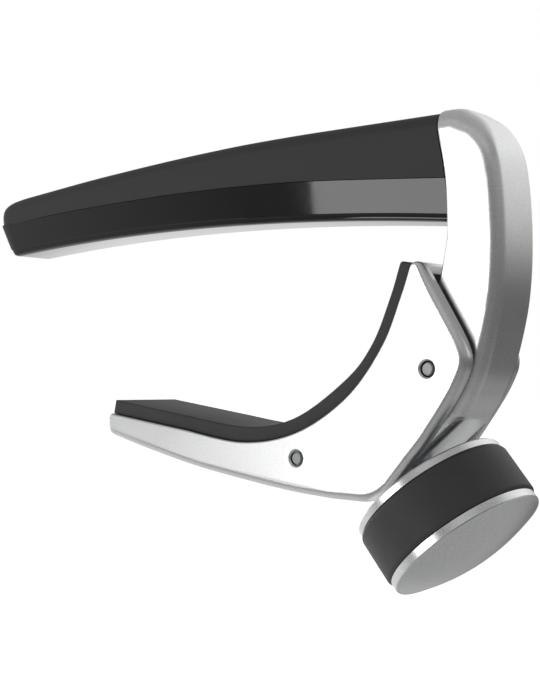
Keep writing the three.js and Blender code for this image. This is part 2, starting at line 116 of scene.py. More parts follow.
def smooth(places, count):
    """count + 1 points of a smooth curve through the given places."""
    last = len(places) - 1
    made = []
    for i in range(count + 1):
        t = i / count * last
        k = min(int(t), last - 1) if t < last else last
        w = t - k
        p0 = places[max(k - 1, 0)]
        p1 = places[k]
        p2 = places[min(k + 1, last)]
        p3 = places[min(k + 2, last)]
        made.append(tuple(curve_value(w, a, b, c, d) for a, b, c, d in zip(p0, p1, p2, p3)))
    return made


def round_corner(before, corner, after, radius, steps):
    """Points of a corner rounded to a radius."""
    c = Vector(corner)
    to_before = (Vector(before) - c).normalized()
    to_after = (Vector(after) - c).normalized()
    half = math.acos(max(-1, min(1, to_before.dot(to_after)))) / 2
    centre = c + (to_before + to_after).normalized() * radius / math.sin(half)
    start = c + to_before * radius / math.tan(half) - centre
    end = c + to_after * radius / math.tan(half) - centre
    sweep = math.atan2(start.x * end.y - start.y * end.x, start.dot(end))
    made = []
    for i in range(steps + 1):
        a = math.atan2(start.y, start.x) + sweep * i / steps
        made.append((centre.x + radius * math.cos(a), centre.y + radius * math.sin(a)))
    return made


def offset_left(curve, distance):
    """A curve moved sideways, to the left of its direction of travel."""
    made = []
    for i, p in enumerate(curve):
        a = Vector(curve[max(i - 1, 0)])
        b = Vector(curve[min(i + 1, len(curve) - 1)])
        along = (b - a).normalized()
        made.append((p[0] - along.y * distance, p[1] + along.x * distance))
    return made


def height_at(curve, x):
    """Height of a curve of points with rising x, at a place along the arm."""
    for (x0, z0), (x1, z1) in zip(curve, curve[1:]):
        if x <= x1:
            return z0 + (z1 - z0) * (x - x0) / (x1 - x0)
    return curve[-1][1]


# ---------------------------------------------------------------- curves that pieces share

SEAM_X = 35.3
ARM_TOP = smooth([(-33.3, 6.88), (-17.5, 8.28), (0, 9.38), (14, 9.78), (SEAM_X, 9.74)], 60)
ARM_SPLIT = smooth(
    [(-36.8, 3.05), (-26.5, 3.8), (-14, 4.3), (0, 4.5), (16, 4.1), (36.3, 2.55)],
    70,
)
SEAM = smooth(
    [(36.14, -2.3), (36.05, 1.2), (35.7, 4.1), (35.1, 7.2), (34.9, 9.3), (34.9, 11)],
    50,
)
JAW_SEAT_START = (-12.4, -22.8)
JAW_SEAT = [JAW_SEAT_START] + smooth(
    [(0, -24.55), (9.5, -25.83), (17.6, -24.5), (24.6, -20.45), (29.2, -15.05), (31.6, -9.9),
     (32.75, -6.85)],
    66,
)
PAD_FACE_START = (-12.0, -21.1)
PAD_FACE = [PAD_FACE_START] + smooth(
    [(0, -22.85), (9.8, -24.05), (17.0, -22.9), (24.1, -18.6), (27.6, -14.8), (29.9, -10.0),
     (31.1, -6.7)],
    66,
)

# ---------------------------------------------------------------- mesh helpers


def link(obj):
    bpy.context.scene.collection.objects.link(obj)
    return obj


def shade(obj, angle):
    """Smooth shading with edges kept sharp above an angle in degrees."""
    obj.data.polygons.foreach_set("use_smooth", [True] * len(obj.data.polygons))
    obj.data.set_sharp_from_angle(angle=math.radians(angle))


def new_object(name, bm, smooth_angle=40):
    """A mesh object from a bmesh in millimetres, shaded smooth up to an angle."""
    bmesh.ops.remove_doubles(bm, verts=bm.verts, dist=1e-5)
    bmesh.ops.recalc_face_normals(bm, faces=bm.faces)
    bmesh.ops.scale(bm, vec=(MM, MM, MM), verts=bm.verts)
    mesh = bpy.data.meshes.new(name)
    bm.to_mesh(mesh)
    bm.free()
    obj = link(bpy.data.objects.new(name, mesh))
    shade(obj, smooth_angle)
    return obj


# The sines of the turn above which a corner is clear and below which it is straight, and
# the share by which neighbouring distances may differ along a smooth run.
CLEAR_CORNER = 0.4
STRAIGHT_RUN = 0.02
ABRUPT_CHANGE = 0.2


def moved_corner(places, inward, distances, before, after):
    """Where the corner between two edges goes when each edge moves inwards by its own
    distance. Edges at a clear angle, or with very different distances, meet where they
    cross. Along a smooth run that place would jump to and fro, so the mean is taken."""
    n0, n1 = inward[before], inward[after]
    d0 = n0.dot(places[before]) + distances[before]
    d1 = n1.dot(places[after]) + distances[after]
    det = n0.x * n1.y - n0.y * n1.x
    change = abs(distances[before] - distances[after])
    abrupt = change > ABRUPT_CHANGE * max(distances[before], distances[after])
    if abs(det) > CLEAR_CORNER or (abs(det) > STRAIGHT_RUN and abrupt):
        return Vector(((d0 * n1.y - d1 * n0.y) / det, (n0.x * d1 - n1.x * d0) / det))
    middle = (n0 + n1).normalized()
    reach = (d0 + d1) / 2 - (n0 + n1).dot(places[after]) / 2
    return places[after] + middle * reach / middle.dot(n0)


def offset_ring(outline, distances):
    """The outline moved inwards by a distance for each edge. Edges that the move uses up
    collapse to a point, so that every ring keeps the same number of points."""
    count = len(outline)
    places = [Vector(p) for p in outline]
    along = [(places[(i + 1) % count] - places[i]).normalized() for i in range(count)]
    inward = [Vector((-a.y, a.x)) for a in along]
    live = list(range(count))
    while True:
        corner = {}
        for before, after in zip(live[-1:] + live[:-1], live):
            corner[after] = moved_corner(places, inward, distances, before, after)
        used_up = []
        for edge, following in zip(live, live[1:] + live[:1]):
            if (corner[following] - corner[edge]).dot(along[edge]) < -1e-9:
                used_up.append(edge)
        if not used_up:
            break
        live = [e for e in live if e not in used_up]
    made = []
    for i in range(count):
        following = next(e for e in live if e >= i) if live[-1] >= i else live[0]
        made.append(corner[following])
    return made


def join_rings(bm, rings, closed=False):
    """Makes the faces between each ring of points and the next. A ring may be one point."""
    pairs = list(zip(rings, rings[1:]))
    if closed:
        pairs.append((rings[-1], rings[0]))
    for lower, upper in pairs:
        count = max(len(lower), len(upper))
        for i in range(count):
            j = (i + 1) % count
            corners = [lower[i % len(lower)], lower[j % len(lower)]]
            corners += [upper[j % len(upper)], upper[i % len(upper)]]
            unique = [v for k, v in enumerate(corners) if v not in corners[:k]]
            bm.faces.new(unique)


def cap(bm, ring):
    """Closes a flat ring with triangles."""
    for tri in tessellate_polygon([[v.co for v in ring]]):
        corners = [ring[k] for k in tri]
        if len(set(corners)) == 3:
            bm.faces.new(corners)


def slab_mesh(outline, half, fillets=0.0, segments=6, sunk=None):
    """A flat outline in XZ given thickness along Y, its rim rounded by a fillet, which is
    one radius or a list with one for the edge after each point. `sunk` is how far each
    point already lies below the faces, where another edge's fillet runs out through it."""
    if not hasattr(fillets, "__len__"):
        fillets = [fillets] * len(outline)
    sunk = sunk or [0.0] * len(outline)
    widest = max(fillets)
    area = sum(a[0] * b[1] - b[0] * a[1] for a, b in zip(outline, outline[1:] + outline[:1]))
    if area < 0:
        outline = outline[::-1]
        fillets = fillets[-2::-1] + fillets[-1:]
        sunk = sunk[::-1]
    steps = segments if widest > 0 else 0
    rings = []
    for k in range(steps + 1):
        a = math.pi / 2 * (k / steps if steps else 1)
        inset = 1 - math.sin(a)
        fall = 1 - math.cos(a)
        places = offset_ring(outline, [f * inset for f in fillets])
        ring = []
        for i, place in enumerate(places):
            drop = min(sunk[i], widest * fall) + max(fillets[i - 1], fillets[i]) * fall
            ring.append((place.x, half - drop, place.y))
        rings.append(ring)
    near = [[(x, -y, z) for x, y, z in ring] for ring in rings]
    bm = bmesh.new()
    verts = [[bm.verts.new(p) for p in ring] for ring in near + rings[::-1]]
    join_rings(bm, verts)
    cap(bm, verts[0])
    cap(bm, verts[-1])
    bmesh.ops.dissolve_degenerate(bm, edges=bm.edges, dist=1e-5)
    return bm


def round_ring(bm, segments, z, radius_at):
    """A ring of points about the Z axis, with its radius from the share of a turn."""
    ring = []
    for i in range(segments):
        a = 2 * math.pi * i / segments
        r = radius_at(i / segments)
        ring.append(bm.verts.new((r * math.cos(a), r * math.sin(a), z)))
    return ring


def turned_mesh(profile, segments=96, closed=False):
    """Turns pairs of radius and height about the Z axis."""
    bm = bmesh.new()
    rings = []
    for radius, z in profile:
        if radius > 0:
            rings.append(round_ring(bm, segments, z, lambda share: radius))
        else:
            rings.append([bm.verts.new((0, 0, z))])
    join_rings(bm, rings, closed)
    return bm


def plug(radius, low, high, segments=48):
    """A round cutter about the Z axis."""
    return turned_mesh([(0, low), (radius, low), (radius, high), (0, high)], segments)


def along_axis(bm, origin, direction):
    """Moves a piece turned about Z on to an axis through a point in millimetres."""
    turn = Vector((0, 0, 1)).rotation_difference(direction).to_matrix().to_4x4()
    bm.transform(Matrix.Translation(origin) @ turn)
    return bm


def on_screw(bm):
    return along_axis(bm, KNOB_BASE, KNOB_DIR)


def across_capo(bm, place, y=0):
    return along_axis(bm, Vector((place.x, y, place.z)), WIDTH_DIR)


def apply_modifiers(obj):
    """Replaces an object's mesh by its evaluated mesh."""
    bpy.context.view_layer.update()
    graph = bpy.context.evaluated_depsgraph_get()
    mesh = bpy.data.meshes.new_from_object(obj.evaluated_get(graph))
    obj.modifiers.clear()
    obj.data = mesh
    return obj


def boolean(obj, tool_mesh, operation="DIFFERENCE"):
    """Cuts a bmesh in millimetres from an object, or joins it."""
    tool = new_object(obj.name + "_tool", tool_mesh)
    mod = obj.modifiers.new("cut", "BOOLEAN")
    mod.operation = operation
    mod.solver = "EXACT"
    mod.object = tool
    apply_modifiers(obj)
    bpy.data.objects.remove(tool)
    return obj


SAME_PLACE = 0.002
SAME_PLANE = math.radians(0.3)


def merge_flat_faces(obj):
    """Joins faces that lie in one plane, and shades the broad faces flat up to where their
    fillets start."""
    bm = bmesh.new()
    bm.from_mesh(obj.data)
    bmesh.ops.remove_doubles(bm, verts=bm.verts, dist=SAME_PLACE * MM)
    bmesh.ops.dissolve_limit(bm, angle_limit=SAME_PLANE, verts=bm.verts, edges=bm.edges)
    bm.to_mesh(obj.data)
    bm.free()
    shade(obj, 30)
    mod = obj.modifiers.new("broad_faces_first", "WEIGHTED_NORMAL")
    mod.keep_sharp = True
    apply_modifiers(obj)


# ---------------------------------------------------------------- material helpers


def node_material(name, metallic=0.0):
    material = bpy.data.materials.new(name)
    material.use_nodes = True
    shader = material.node_tree.nodes["Principled BSDF"]
    shader.inputs["Metallic"].default_value = metallic
    return material, material.node_tree, shader


def add(tree, kind, **values):
    """Adds a node, and sets its inputs or its settings by name."""
    node = tree.nodes.new(kind)
    for key, value in values.items():
        if key in node.inputs:
            node.inputs[key].default_value = value
        else:
            setattr(node, key, value)
    return node


def noise(tree, scale, detail=2.0, roughness=0.5):
    """A noise that is fixed to the piece."""
    node = add(tree, "ShaderNodeTexNoise", Scale=scale, Detail=detail, Roughness=roughness)
    coordinates = add(tree, "ShaderNodeTexCoord")
    tree.links.new(coordinates.outputs["Object"], node.inputs["Vector"])
    return node.outputs["Fac"]


def remap(tree, value, from_low, from_high, to_low, to_high):
    """Maps a value evenly from one range on to another, and holds it at the ends."""
    node = add(tree, "ShaderNodeMapRange")
    tree.links.new(value, node.inputs["Value"])
    node.inputs["From Min"].default_value = from_low
    node.inputs["From Max"].default_value = from_high
    node.inputs["To Min"].default_value = to_low
    node.inputs["To Max"].default_value = to_high
    return node.outputs["Result"]


# The values that a noise mostly takes, and the narrower ones that give it clear specks.
USUAL_NOISE = (0.3, 0.7)
SPECK_NOISE = (0.36, 0.64)


def spread(tree, value, low, high):
    """Maps the values that a noise mostly takes on to a range."""
    return remap(tree, value, *USUAL_NOISE, low, high)


def mix_colours(tree, share, first, second):
    """A colour between two, each given as a colour or as another node's output."""
    node = add(tree, "ShaderNodeMix", data_type="RGBA")
    tree.links.new(share, node.inputs["Factor"])
    for socket, value in ((node.inputs["A"], first), (node.inputs["B"], second)):
        if isinstance(value, tuple):
            socket.default_value = (*value, 1)
        else:
            tree.links.new(value, socket)
    return node.outputs["Result"]


def set_colour(tree, shader, share, dark, light):
    """Colours a shader between two tones."""
    tree.links.new(mix_colours(tree, share, dark, light), shader.inputs["Base Color"])


def set_roughness(tree, shader, value, low, high):
    """Varies a shader's roughness with a noise."""
    tree.links.new(spread(tree, value, low, high), shader.inputs["Roughness"])


def set_bump(tree, shader, height, distance, strength):
    """Roughens a surface by a noise, with the distance in millimetres."""
    node = add(tree, "ShaderNodeBump", Strength=strength, Distance=distance * MM)
    tree.links.new(height, node.inputs["Height"])
    tree.links.new(node.outputs["Normal"], shader.inputs["Normal"])


def speckled(tree, shader, grain, dark, light):
    """Colours a metal with the specks of a fine grain."""
    set_colour(tree, shader, remap(tree, grain, *SPECK_NOISE, 0, 1), dark, light)


# ---------------------------------------------------------------- materials

SPECK_SCALE = 6500


def satin_alloy():
    """Plated alloy with a fine blasted grain that sparkles a little."""
    material, tree, shader = node_material("satin_alloy", metallic=1.0)
    grain = noise(tree, SPECK_SCALE, detail=3, roughness=0.75)
    speckled(tree, shader, grain, dark=(0.672, 0.676, 0.684), light=(0.832, 0.8344, 0.84))
    set_roughness(tree, shader, noise(tree, 160, detail=3), 0.27, 0.34)
    set_bump(tree, shader, grain, distance=0.006, strength=0.5)
    return material


def turned_alloy():
    """The knob's metal: the same plating on a finer surface."""
    material, tree, shader = node_material("turned_alloy", metallic=1.0)
    grain = noise(tree, SPECK_SCALE, detail=3, roughness=0.7)
    speckled(tree, shader, grain, dark=(0.70, 0.705, 0.71), light=(0.87, 0.875, 0.88))
    set_roughness(tree, shader, noise(tree, 240, detail=3), 0.24, 0.31)
    set_bump(tree, shader, grain, distance=0.003, strength=0.4)
    return material


def soft_touch():
    """The arm cover's matt coating, a very fine even grain."""
    material, tree, shader = node_material("soft_touch")
    broad = noise(tree, 120, detail=2)
    share = spread(tree, broad, 0, 1)
    set_colour(tree, shader, share, dark=(0.0195, 0.020, 0.0215), light=(0.025, 0.0255, 0.0275))
    set_roughness(tree, shader, broad, 0.56, 0.64)
    grain = noise(tree, 5200, detail=4, roughness=0.65)
    set_bump(tree, shader, grain, distance=0.012, strength=0.6)
    return material


def gloss_rubber():
    """The string pad: smooth moulded rubber with a shine."""
    material, tree, shader = node_material("gloss_rubber")
    shader.inputs["Base Color"].default_value = (0.006, 0.006, 0.007, 1)
    shader.inputs["IOR"].default_value = 1.6
    set_roughness(tree, shader, noise(tree, 420, detail=3), 0.03, 0.05)
    set_bump(tree, shader, noise(tree, 900), distance=0.001, strength=0.1)
    return material


def matt_rubber(name, dark, light, roughness):
    """Matt moulded rubber with a slight mottle."""
    material, tree, shader = node_material(name)
    share = spread(tree, noise(tree, 300, detail=3), 0, 1)
    set_colour(tree, shader, share, dark, light)
    grain = noise(tree, 3600, detail=4, roughness=0.7)
    set_roughness(tree, shader, grain, roughness - 0.05, roughness + 0.06)
    set_bump(tree, shader, grain, distance=0.014, strength=0.6)
    return material


def pad_rubber():
    return matt_rubber("pad_rubber", (0.030, 0.030, 0.0312), (0.038, 0.038, 0.0399), 0.62)


def grip_rubber():
    return matt_rubber("grip_rubber", (0.028, 0.028, 0.02912), (0.034, 0.034, 0.0357), 0.55)


def streaked_metal(name, scale, dark, light, smoothest, roughest):
    """Machined metal whose tone and roughness follow one fine noise."""
    material, tree, shader = node_material(name, metallic=1.0)
    streak = noise(tree, scale, detail=3)
    set_colour(tree, shader, spread(tree, streak, 0, 1), dark, light)
    set_roughness(tree, shader, streak, smoothest, roughest)
    return material


def bright_steel():
    """The spring, the screw and the hard plate: ground steel."""
    return streaked_metal("bright_steel", 2400, (0.52, 0.53, 0.54), (0.64, 0.65, 0.66), 0.22, 0.32)


def pin_steel():
    """The pins: darker and rougher than the plating round them."""
    return streaked_metal("pin_steel", 3000, (0.30, 0.305, 0.31), (0.38, 0.385, 0.39), 0.40, 0.50)


def plated_brass():
    """The screw's bush: nickel over brass, a little warmer than the alloy."""
    return streaked_metal("plated_brass", 1800, (0.50, 0.49, 0.46), (0.60, 0.59, 0.56), 0.25, 0.36)


def natural_nylon():
    """The moulded inner parts: undyed and slightly translucent."""
    material, tree, shader = node_material("natural_nylon")
    mottle = noise(tree, 500, detail=3)
    share = spread(tree, mottle, 0, 1)
    set_colour(tree, shader, share, dark=(0.66, 0.64, 0.57), light=(0.74, 0.72, 0.66))
    set_roughness(tree, shader, mottle, 0.4, 0.5)
    shader.inputs["Subsurface Weight"].default_value = 0.15
    shader.inputs["Subsurface Radius"].default_value = (0.001, 0.001, 0.0008)
    return material


ALLOY = satin_alloy()
TURNED = turned_alloy()
SOFT_TOUCH = soft_touch()
GLOSS = gloss_rubber()
PAD_RUBBER = pad_rubber()
GRIP_RUBBER = grip_rubber()
STEEL = bright_steel()
PIN_STEEL = pin_steel()
BRASS = plated_brass()
NYLON = natural_nylon()


def finish_piece(obj, material, body, node):
    """Gives a new piece its material and its body, and hides the CAD node it stands for."""
    obj.data.materials.clear()
    obj.data.materials.append(material)
    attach(obj, body)
    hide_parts(node)
    return obj


# ---------------------------------------------------------------- bow and leg

BOW_TOP_Z = 10.1
TOP_FILLET = 2.35
SIDE_FILLET = 1.55
FOOT_FILLET = 0.9
INNER_FILLET = 0.3
SEAM_FILLET = 0.2
SEAM_TOP_X = 34.9
SEAM_TOP_Z = 9.3
LEG_OUTER = -2.05
LEG_INNER = -6.2
LEG_REACH = -5.4
TONGUE_HALF = 2.4
TONGUE_TIP_X = -33.5
TONGUE_ROOF_GAP = 0.35
COVER_WALL = 1.2
GAP = 0.3
FILLET_GROWS_FROM = 5.0
FILLET_GROWS_OVER = 4.6


def outer_fillet(place):
    """The outer rim's fillet: broad where the arm's back comes in, narrower down the bow."""
    share = min(1, max(0, (place[1] - FILLET_GROWS_FROM) / FILLET_GROWS_OVER))
    return SIDE_FILLET + (TOP_FILLET - SIDE_FILLET) * share**1.6


def run_out(z):
    """How far the arm's top fillet has dropped below the face, at a height."""
    over = z - (BOW_TOP_Z - TOP_FILLET)
    if over <= 0:
        return 0.0
    return TOP_FILLET - math.sqrt(max(0.0, TOP_FILLET**2 - over**2))


def leg_outline(start, end):
    """The leg's outline in two stretches: the last of the bow's outer rim, then the foot and
    the way back to the bow's inner rim."""
    heel = (37.5, -22.8)
    outer_end = at_screw(LEG_OUTER, -2.2)
    nose = at_screw(-3.9, LEG_REACH)
    back = at_screw(LEG_INNER, LEG_REACH)
    root = at_screw(LEG_INNER, 3.2)
    rim = round_corner(start, heel, outer_end, 1.6, 6)
    foot = round_corner(heel, outer_end, nose, 1.8, 8)
    foot += round_corner(outer_end, nose, back, 1.5, 6)
    foot += round_corner(nose, back, root, 1.3, 5)
    foot += round_corner(back, root, end, 2.0, 5)
    return rim, foot


def bow_outline():
    """The bow's outline, with the fillet of its rim and the drop of its face at each point."""
    outer = smooth(
        [(36.0, BOW_TOP_Z), (37.0, 10.0), (38.0, 9.6), (40.2, 7.85), (41.85, 4.15), (42.5, -3.2),
         (42.1, -10.4), (40.5, -17.0), (39.2, -20.1), (38.0, -22.0)],
        110,
    )
    inner = smooth(
        [(30.6, -20.2), (32.4, -15.2), (34.2, -11.6), (35.2, -8.0), (36.0, -4.0), (36.14, -2.3)],
        50,
    )
    rim, foot = leg_outline(outer[-1], inner[0])
    outer += rim
    seam = [p for p in SEAM[1:] if p[1] < SEAM_TOP_Z]
    top = round_corner(seam[-1], (SEAM_TOP_X, BOW_TOP_Z), (36.0, BOW_TOP_Z), 0.6, 10)
    last = len(top) - 1
    fillets = [outer_fillet(p) for p in outer]
    fillets += [FOOT_FILLET] * len(foot)
    fillets += [INNER_FILLET] * (len(inner) - 1)
    fillets += [SEAM_FILLET] * (len(seam) + 1)
    fillets += [SEAM_FILLET * (1 - i / last) for i in range(last)] + [TOP_FILLET]
    sunk = [0.0] * (len(outer) + len(foot) + len(inner))
    sunk += [run_out(p[1]) for p in seam + top[:-1]] + [0.0]
    return outer + foot + inner + seam + top, fillets, sunk


def tongue_outline():
    """The frame's tongue, which runs inside the arm's cover."""
    roof = offset_left(ARM_TOP, -(COVER_WALL + TONGUE_ROOF_GAP))
    top = [p for p in roof if TONGUE_TIP_X < p[0] < SEAM_X]
    bottom = [p for p in offset_left(ARM_SPLIT, GAP) if TONGUE_TIP_X < p[0] < SEAM_X]
    root = SEAM_X + 1.7
    return bottom + [(root, 3.0), (root, 8.1)] + top[::-1]


def beyond_seam(gap):
    """A block that covers everything on the bow's side of the seam, set back by a gap."""
    edge = offset_left(SEAM, gap)
    return slab_mesh(edge + [(SEAM_X + 8, 11), (SEAM_X + 8, -2.3)], 6)


SCREW_HOLE = 3.15
SCREW_HOLE_START = -12
SCREW_HOLE_END = 1
PIVOT_HOLE = 1.95
FLANGE_SEAT = 2.6
FLANGE_DEPTH = 0.5
ANCHOR_HOLE = 0.75
SPRING_SLOT_HALF = 1.9
SPRING_SLOT = [(21.5, -31.5), (27.0, -31.5), (27.0, -26.0), (21.5, -26.0)]


def make_frame():
    """The bow, the leg and the tongue, with the leg's holes and the spring's slot."""
    outline, fillets, sunk = bow_outline()
    obj = new_object("bow_frame", slab_mesh(outline, FRAME_HALF, fillets, 10, sunk))
    through = FRAME_HALF + 2
    boolean(obj, slab_mesh(tongue_outline(), TONGUE_HALF), "UNION")
    boolean(obj, on_screw(plug(SCREW_HOLE, SCREW_HOLE_START, SCREW_HOLE_END, 64)))
    boolean(obj, across_capo(plug(PIVOT_HOLE, -through, through), PIVOT))
    for side in (-1, 1):
        seat = plug(FLANGE_SEAT, -FLANGE_DEPTH, FLANGE_DEPTH)
        boolean(obj, across_capo(seat, PIVOT, side * FRAME_HALF))
    boolean(obj, across_capo(plug(ANCHOR_HOLE, -through, through, 32), SPRING_ANCHOR))
    boolean(obj, slab_mesh(SPRING_SLOT, SPRING_SLOT_HALF))
    merge_flat_faces(obj)
    return finish_piece(obj, ALLOY, "frame_and_arm", "c_frame")


# ---------------------------------------------------------------- arm cover

COVER_BACK_FILLET = 1.9
COVER_END_FILLET = 0.5
COVER_EDGE_FILLET = 0.05
COVER_SEAM_GAP = 0.06


def cover_outline():
    """The cover's outline with the fillet of its rim. Its end runs on past the seam."""
    tip = smooth([(-37.5, 3.15), (-37.6, 4.6), (-37.05, 5.8), (-35.7, 6.48), (-33.3, 6.88)], 32)
    beyond = SEAM_X + 3
    bottom = [p for p in ARM_SPLIT if p[0] > -36.5] + [(beyond, 2.3)]
    top = [(beyond, 9.6)] + ARM_TOP[::-1] + tip[:-1][::-1]
    fillets = [COVER_EDGE_FILLET] * (len(bottom) - 1) + [COVER_END_FILLET]
    fillets += [COVER_BACK_FILLET] * (len(top) - 1) + [COVER_EDGE_FILLET]
    return bottom + top, fillets


def cover_hollow():
    """The room in the cover for the frame's tongue, open below."""
    start = TONGUE_TIP_X - GAP
    end = SEAM_X + 2
    roof = [p for p in offset_left(ARM_TOP, -COVER_WALL) if p[0] > start]
    return [(start, 0), (end, 0), (end, 8.4)] + roof[::-1] + [(start, 5.5)]


def make_arm_cover():
    """An inverted trough with a rounded back and tip, open below for the tongue."""
    outline, fillets = cover_outline()
    obj = new_object("arm_cover_shell", slab_mesh(outline, ARM_HALF, fillets, 10))
    boolean(obj, beyond_seam(COVER_SEAM_GAP))
    boolean(obj, slab_mesh(cover_hollow(), TONGUE_HALF + GAP))
    merge_flat_faces(obj)
    return finish_piece(obj, SOFT_TOUCH, "frame_and_arm", "arm_cover")


# ---------------------------------------------------------------- string pad

FINGERBOARD_RADIUS = 385
PAD_CREST_X = -4
PAD_TOP_HALF = ARM_HALF - 0.05
PAD_TOP_GAP = 0.03
PAD_EDGE = 0.04
PAD_STEP_HALF = 3.5
PAD_STEP_HEIGHT = 0.76
PAD_WALL_TOP_HALF = PAD_STEP_HALF - 0.15
PAD_WALL_FOOT_HALF = PAD_STEP_HALF - 0.24
PAD_WALL_HEIGHT = 0.45
PAD_FOOT_HALF = 2.5
PAD_TIP_X = -35.0
PAD_TIP_REACH = 2.05
PAD_TIP_ROUND = 0.55
PAD_SEAM_GAP = 0.05
PAD_STATIONS = 84
PAD_TIP_STEPS = 6


def contact_z(x):
    """Height of the string pad's contact face at a place along the arm."""
    crest = math.sqrt(FINGERBOARD_RADIUS**2 - PAD_CREST_X**2)
    return math.sqrt(FINGERBOARD_RADIUS**2 - (x - PAD_CREST_X) ** 2) - crest


def pad_half_section(x):
    """Pairs of half-width and height, from the pad's top edge down to its contact face: a
    leaning side, a fine step, a low wall and a rounded foot."""
    low = contact_z(x)
    top = height_at(ARM_SPLIT, x) - PAD_TOP_GAP
    side_top = top - PAD_EDGE
    step = low + PAD_STEP_HEIGHT
    side_foot = step + 0.09
    made = [(PAD_TOP_HALF - 0.03, top), (PAD_TOP_HALF, side_top)]
    for i in range(1, 9):
        t = i / 8
        half = PAD_TOP_HALF + (PAD_STEP_HALF - PAD_TOP_HALF) * t
        made.append((half, side_top + (side_foot - side_top) * t))
    made += [(PAD_WALL_TOP_HALF + 0.02, step + 0.04), (PAD_WALL_TOP_HALF, step)]
    foot_rise = PAD_STEP_HEIGHT - PAD_WALL_HEIGHT
    reach = PAD_WALL_FOOT_HALF - PAD_FOOT_HALF
    for i in range(11):
        a = math.pi / 2 * i / 10
        made.append((PAD_FOOT_HALF + reach * math.cos(a), low + foot_rise * (1 - math.sin(a))))
    return made


def pad_tip_lean(s, share):
    """How far the pad's end leans out towards the arm's tip: most at its top edge."""
    return -PAD_TIP_REACH * share**0.85 * (1 - s) ** 18


def pad_ring(k):
    """The pad's section at a station. Those below 0 turn in towards the tip's end."""
    s = max(k, 0) / PAD_STATIONS
    turn = math.pi / 2 * max(-k, 0) / PAD_TIP_STEPS
    x = PAD_TIP_X + (SEAM[0][0] - PAD_TIP_X) * s
    x += PAD_TIP_ROUND * (max(0.0, 1 - s * 12) - math.sin(turn))
    shrink = PAD_TIP_ROUND * (1 - math.cos(turn))
    half = pad_half_section(x)
    low, top = half[-1][1], half[0][1]
    middle = (low + top) / 2
    share_y = 1 - shrink / ARM_HALF
    share_z = 1 - shrink / (top - low) * 1.2
    ring = []
    for y, z in half + [(-y, z) for y, z in reversed(half)]:
        lean = pad_tip_lean(s, min(1.0, max(0.0, (z - low) / (top - low))))
        ring.append((x + lean, y * share_y, middle + (z - middle) * share_z))
    return ring


def make_string_pad():
    """A rubber bar with leaning sides, a rounded foot and a sloping, rounded tip."""
    bm = bmesh.new()
    rings = []
    for k in range(-PAD_TIP_STEPS, PAD_STATIONS + 1):
        rings.append([bm.verts.new(p) for p in pad_ring(k)])
    join_rings(bm, rings)
    bm.faces.new(rings[0])
    bm.faces.new(rings[-1])
    obj = new_object("string_pad_bar", bm)
    boolean(obj, beyond_seam(PAD_SEAM_GAP))
    shade(obj, 28)
    return finish_piece(obj, GLOSS, "frame_and_arm", "string_pad")


# ---------------------------------------------------------------- jaw

JAW_WALL = 1.5
JAW_WEB = 1.5
JAW_FILLET = 0.98
JAW_TIP_FILLET = 0.95
SEAT_FILLET = 0.22
PIN_HOLE = 0.88
PIN_HOLE_CHAMFER = 0.2
CHANNEL_START_X = -10.8
WEAR_PLATE_FACE = -9.9
WEAR_PLATE_THICKNESS = 0.6
WEAR_SEAT_HALF = 3.3
WEAR_SEAT_DEPTH = 4


def seat_to_rim(share, fillet):
    """A fillet that widens from the seat's nearly sharp edge to the rim's."""
    return SEAT_FILLET + (fillet - SEAT_FILLET) * min(1, share)


def jaw_outline():
    """The jaw's outline with the fillet of its rim after each point. The seat's edge is
    nearly sharp, and the rest of the rim is generously rounded."""
    back = smooth(
        [(34.5, -7.2), (36.5, -10.45), (38.4, -13.6), (39.3, -15.4), (39.55, -16.7), (39.2, -18.1),
         (37.75, -20.7), (34.7, -24.9), (32.75, -27.15)],
        70,
    )
    bottom = smooth(
        [(22.0, -31.75), (16.5, -31.25), (10.4, -30.4), (2.0, -29.0), (-6.0, -27.2), (-11.6, -25.75)],
        60,
    )
    tip = smooth(
        [(-11.6, -25.75), (-12.75, -25.35), (-13.25, -24.6), (-13.3, -23.6), (-12.95, -23.0),
         JAW_SEAT_START],
        30,
    )
    seat = JAW_SEAT[1:]
    top = round_corner(seat[-1], (33.34, -5.31), back[0], 0.74, 10)
    heel = round_corner(back[-1], (28.6, -31.95), bottom[0], 5.5, 18)
    rim = top + back + heel + bottom[:-1]
    widening = len(top) + 5
    narrowing = 14
    fillets = [SEAT_FILLET] * len(seat)
    fillets += [seat_to_rim(i / widening, JAW_FILLET) for i in range(len(rim))]
    fillets += [seat_to_rim((len(tip) - i) / narrowing, JAW_TIP_FILLET) for i in range(len(tip))]
    return seat + rim + tip, fillets


def channel_outline():
    """The room between the jaw's side plates, under its web. It runs on past the rim."""
    roof = [p for p in offset_left(JAW_SEAT, -JAW_WEB) if p[0] > CHANNEL_START_X]
    return [(CHANNEL_START_X, -40), (46, -40), (46, -4), (roof[-1][0], -4)] + roof[::-1]


def wear_plate_seat():
    """The flat recess behind the hard plate that the screw's nose presses."""
    face = WEAR_PLATE_FACE - WEAR_PLATE_THICKNESS - GAP
    corners = [(0, -1), (WEAR_SEAT_DEPTH, -1), (WEAR_SEAT_DEPTH, 1), (0, 1)]
    return [at_screw(face + depth, side * WEAR_SEAT_HALF) for depth, side in corners]


def pin_hole(place):
    """A through hole with a small chamfer at each face of the jaw."""
    face = JAW_HALF + 0.02
    end = 8
    wide = PIN_HOLE + PIN_HOLE_CHAMFER + end - face
    start = face - PIN_HOLE_CHAMFER
    profile = [(0, -end), (wide, -end), (PIN_HOLE, -start), (PIN_HOLE, start), (wide, end), (0, end)]
    return across_capo(turned_mesh(profile, 48), place)


